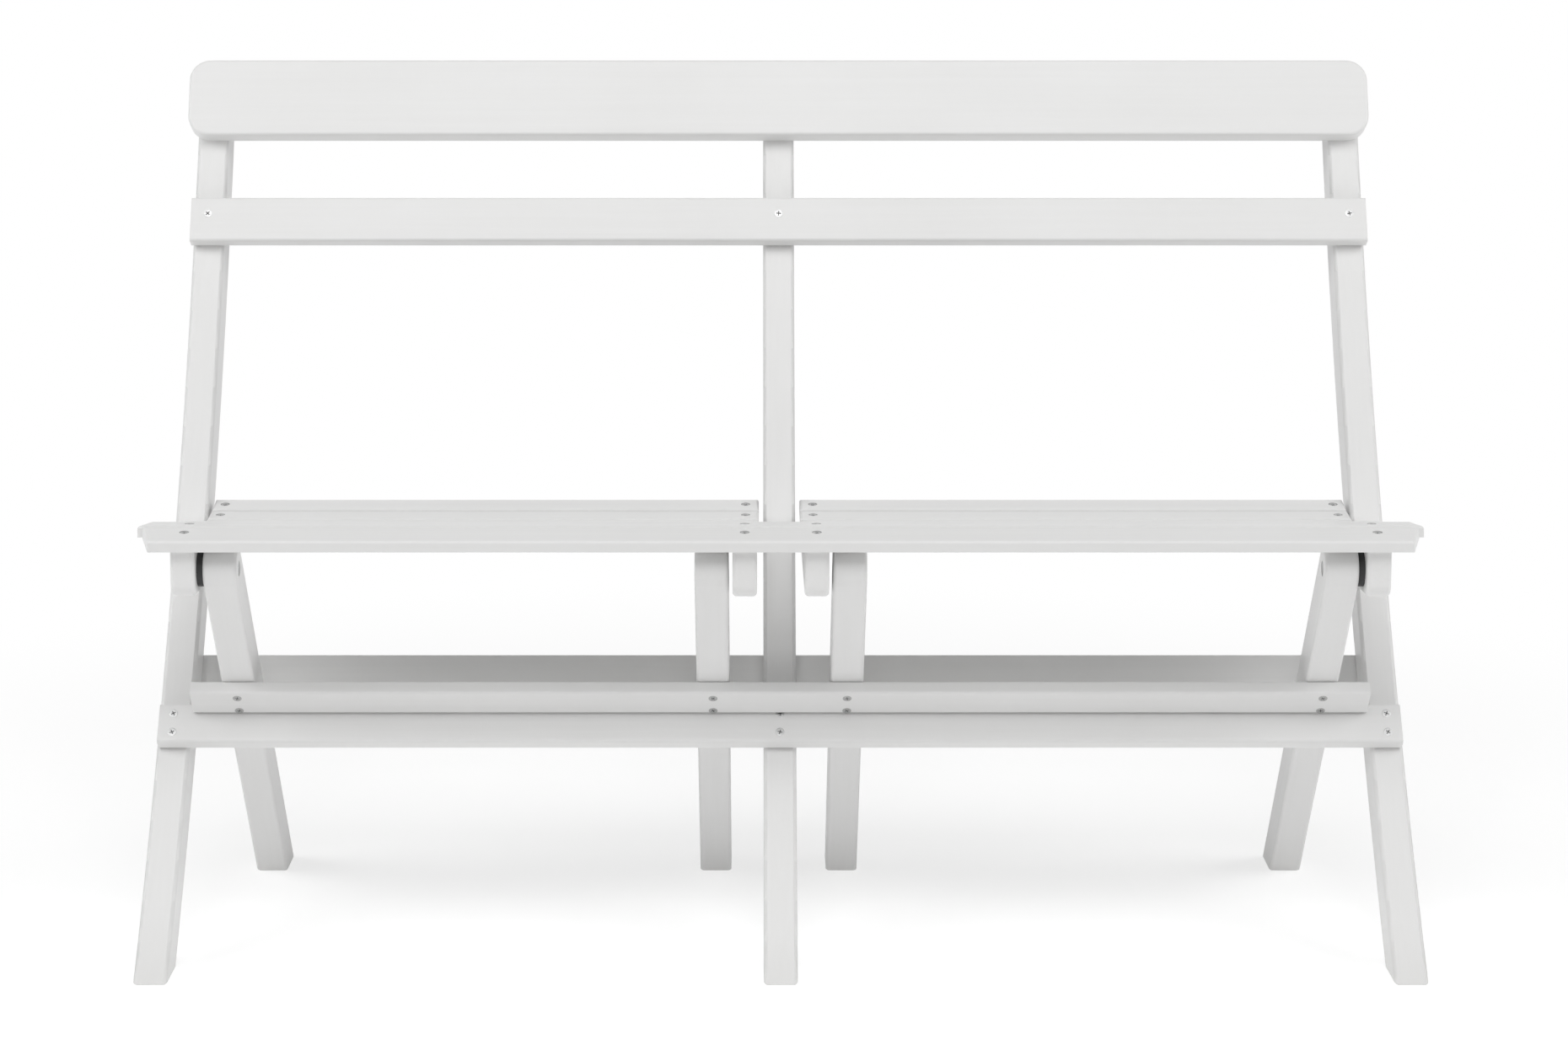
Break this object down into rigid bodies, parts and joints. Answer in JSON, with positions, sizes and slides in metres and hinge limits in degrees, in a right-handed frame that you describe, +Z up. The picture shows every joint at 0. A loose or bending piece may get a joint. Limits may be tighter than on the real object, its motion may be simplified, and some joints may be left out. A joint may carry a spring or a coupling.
{
  "type": "folding garden bench",
  "caption": "White painted wooden folding bench for a garden or porch: curved posts, a slatted dished seat and crossed legs that fold up under the seat.",
  "frame": {"origin": "on the floor under the middle of the bench's overall box", "axes": "+X along the bench to the sitter's left, +Y from the front to the back, +Z up"},
  "size_m": [1.232, 0.5941, 0.8332],
  "materials": {
    "white_paint": "smooth white satin paint on softwood",
    "zinc": "dull zinc plating",
    "black_nylon": "dull black nylon"
  },
  "bodies": {
    "back_frame": {"back_slat": "white_paint", "back_slat_screws": "zinc", "front_rail": "white_paint", "front_rail_screws": "zinc", "post_centre": "white_paint", "post_left": "white_paint", "post_right": "white_paint", "rear_rail": "white_paint", "rear_rail_screws": "zinc", "seat_pivot_bolts": "zinc", "seat_pivot_nuts": "zinc", "seat_pivot_spacers": "zinc", "seat_pivot_washers": "zinc", "top_rail": "white_paint", "top_rail_screws": "zinc"},
    "seat": {"bearer_inner_left": "white_paint", "bearer_inner_right": "white_paint", "bearer_outer_left": "white_paint", "bearer_outer_right": "white_paint", "leg_pivot_bolts": "zinc", "leg_pivot_spacers": "black_nylon", "seat_slat_1": "white_paint", "seat_slat_2": "white_paint", "seat_slat_3_left": "white_paint", "seat_slat_3_right": "white_paint", "seat_slat_4_left": "white_paint", "seat_slat_4_right": "white_paint", "seat_slat_5_left": "white_paint", "seat_slat_5_right": "white_paint", "seat_slat_6_left": "white_paint", "seat_slat_6_right": "white_paint", "seat_slat_7_left": "white_paint", "seat_slat_7_right": "white_paint", "seat_slat_8_left": "white_paint", "seat_slat_8_right": "white_paint", "seat_slat_9_left": "white_paint", "seat_slat_9_right": "white_paint", "seat_slat_screws": "zinc"},
    "leg_frame": {"front_stretcher": "white_paint", "leg_inner_left": "white_paint", "leg_inner_right": "white_paint", "leg_outer_left": "white_paint", "leg_outer_right": "white_paint", "stretcher_screws": "zinc"}
  },
  "joints": [
    {"name": "seat_fold", "type": "hinge", "parent": "back_frame", "child": "seat", "pos_m": [0, 0.03778, 0.366], "axis": [-1, 0, 0], "range_deg": [0, 75]},
    {"name": "leg_fold", "type": "hinge", "parent": "seat", "child": "leg_frame", "pos_m": [0, -0.22462, 0.383], "axis": [-1, 0, 0], "range_deg": [-24, 0]}
  ],
  "couplings": [
    {"joint": "leg_fold", "follows": "seat_fold", "ratio": -0.31}
  ]
}
